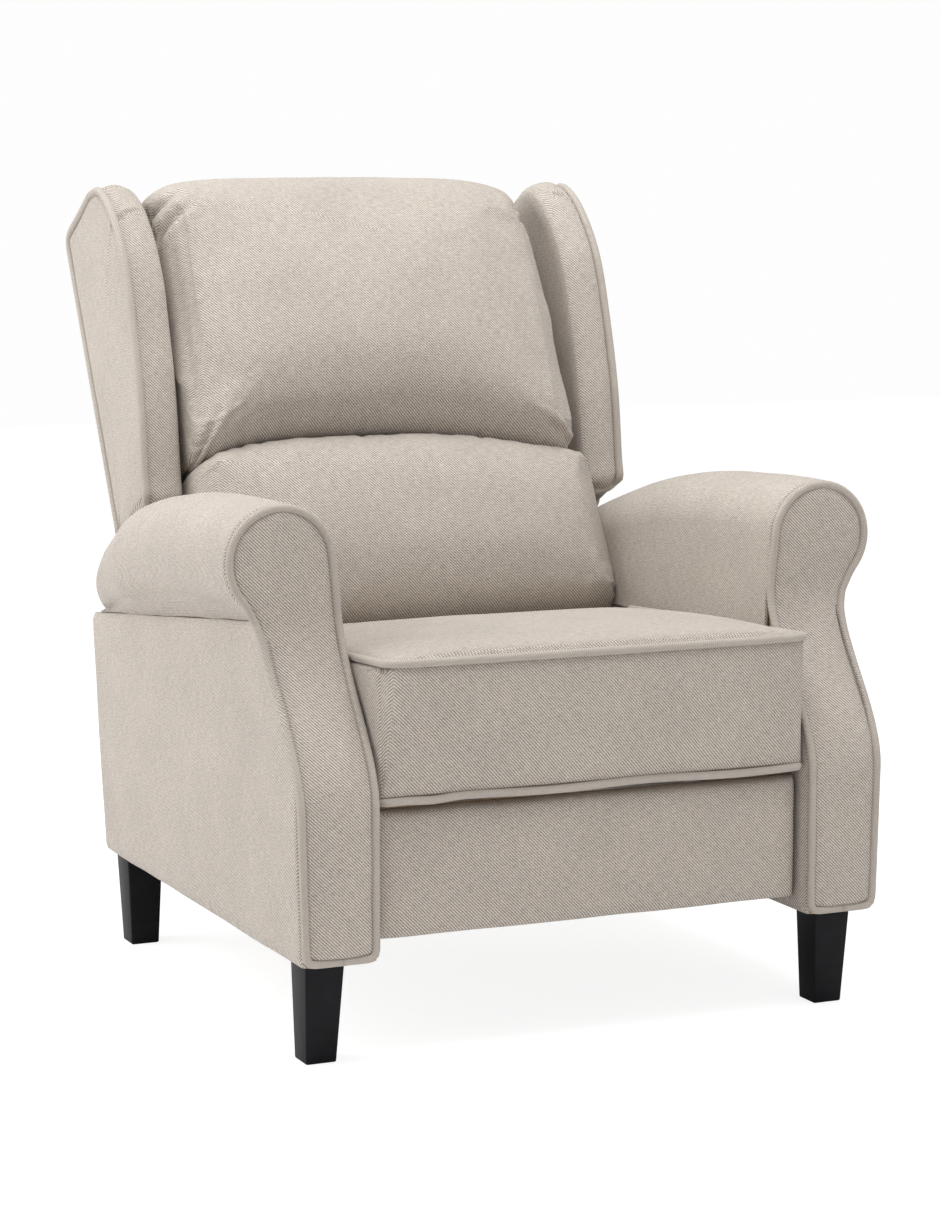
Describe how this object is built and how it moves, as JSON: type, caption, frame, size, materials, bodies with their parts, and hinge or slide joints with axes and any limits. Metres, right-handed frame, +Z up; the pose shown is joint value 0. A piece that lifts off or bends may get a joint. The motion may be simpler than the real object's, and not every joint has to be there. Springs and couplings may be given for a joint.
{
  "type": "push-back recliner",
  "caption": "Wing-backed push-back recliner with rolled arms, stacked back pillows, boxed seat cushion and fold-out footrest on tapered legs.",
  "frame": {"origin": "on the floor under the middle of the chair's width and depth", "axes": "+Z up, -Y the way the sitter faces, +X to the right of someone who faces the chair"},
  "size_m": [0.8338, 0.9621, 0.9979],
  "materials": {
    "linen": "greige linen-look twill with slubs",
    "piping": "self piping of the same twill, cut on the bias",
    "ebony": "near-black satin lacquer",
    "timber": "bare sawn hardwood and plywood",
    "steel": "black baked enamel",
    "spring_wire": "oiled spring wire",
    "webbing": "black elastic webbing"
  },
  "bodies": {
    "base": {"arm_frame_left": "timber", "arm_frame_right": "timber", "arm_roll_left": "linen", "arm_roll_right": "linen", "arm_outside_left": "linen", "arm_outside_right": "linen", "arm_inside_left": "linen", "arm_inside_right": "linen", "arm_facing_left": "linen", "arm_facing_right": "linen", "arm_welt_left": "piping", "arm_welt_right": "piping", "leg_front_left": "ebony", "leg_front_right": "ebony", "leg_rear_left": "ebony", "leg_rear_right": "ebony", "rail_front": "timber", "rail_rear": "timber", "base_plate_left": "steel", "base_plate_right": "steel"},
    "front_swing": {"swing_front_left": "steel", "swing_front_right": "steel"},
    "rear_swing": {"swing_rear_left": "steel", "swing_rear_right": "steel"},
    "seat": {"seat_plate_left": "steel", "seat_plate_right": "steel", "seat_tube": "steel", "seat_frame": "timber", "seat_springs": "spring_wire", "seat_cushion": "linen", "seat_welt": "piping"},
    "back": {"back_bracket_left": "steel", "back_bracket_right": "steel", "back_frame": "timber", "back_webbing": "webbing", "back_panel": "linen", "back_top": "linen", "lumbar_pillow": "linen", "head_pillow": "linen", "wing_left": "linen", "wing_right": "linen", "wing_welt_left": "piping", "wing_welt_right": "piping"},
    "lift": {"lift_link_left": "steel", "lift_link_right": "steel", "lift_tube": "steel"},
    "guide": {"guide_link_left": "steel", "guide_link_right": "steel"},
    "carrier": {"carrier_left": "steel", "carrier_right": "steel"},
    "upper": {"upper_link_left": "steel", "upper_link_right": "steel"},
    "footrest": {"footrest_bracket_left": "steel", "footrest_bracket_right": "steel", "footrest_board": "timber", "footrest_pad": "linen"}
  },
  "joints": [
    {"name": "recline", "type": "hinge", "parent": "seat", "child": "back", "pos_m": [0, 0.15601, 0.33], "axis": [-1, 0, 0], "range_deg": [0, 35]},
    {"name": "front_swing_turn", "type": "hinge", "parent": "base", "child": "front_swing", "pos_m": [0, -0.20398, 0.3], "axis": [-1, 0, 0], "range_deg": [0, 29.01]},
    {"name": "rear_swing_turn", "type": "hinge", "parent": "base", "child": "rear_swing", "pos_m": [0, 0.09602, 0.3], "axis": [-1, 0, 0], "range_deg": [0, 29.01]},
    {"name": "seat_glide", "type": "hinge", "parent": "rear_swing", "child": "seat", "pos_m": [0, 0.11104, 0.24191], "axis": [1, 0, 0], "range_deg": [0, 29.01]},
    {"name": "lift_turn", "type": "hinge", "parent": "seat", "child": "lift", "pos_m": [0, -0.24399, 0.3], "axis": [-1, 0, 0], "range_deg": [0, 93.01]},
    {"name": "guide_turn", "type": "hinge", "parent": "seat", "child": "guide", "pos_m": [0, -0.28666, 0.31428], "axis": [-1, 0, 0], "range_deg": [0, 93.01]},
    {"name": "carrier_turn", "type": "hinge", "parent": "lift", "child": "carrier", "pos_m": [0, -0.13835, 0.10134], "axis": [-1, 0, 0], "range_deg": [-93.01, 0]},
    {"name": "upper_turn", "type": "hinge", "parent": "lift", "child": "upper", "pos_m": [0, -0.15948, 0.14107], "axis": [-1, 0, 0], "range_deg": [-93.01, 0]},
    {"name": "footrest_turn", "type": "hinge", "parent": "carrier", "child": "footrest", "pos_m": [0, -0.35898, 0.215], "axis": [-1, 0, 0], "range_deg": [0, 93.01]}
  ],
  "couplings": [
    {"joint": "front_swing_turn", "follows": "recline", "ratio": 0.82857},
    {"joint": "rear_swing_turn", "follows": "recline", "ratio": 0.82857},
    {"joint": "seat_glide", "follows": "recline", "ratio": 0.82857},
    {"joint": "lift_turn", "follows": "recline", "ratio": 2.6571},
    {"joint": "guide_turn", "follows": "recline", "ratio": 2.6571},
    {"joint": "carrier_turn", "follows": "recline", "ratio": -2.6571},
    {"joint": "upper_turn", "follows": "recline", "ratio": -2.6571},
    {"joint": "footrest_turn", "follows": "recline", "ratio": 2.6571}
  ]
}
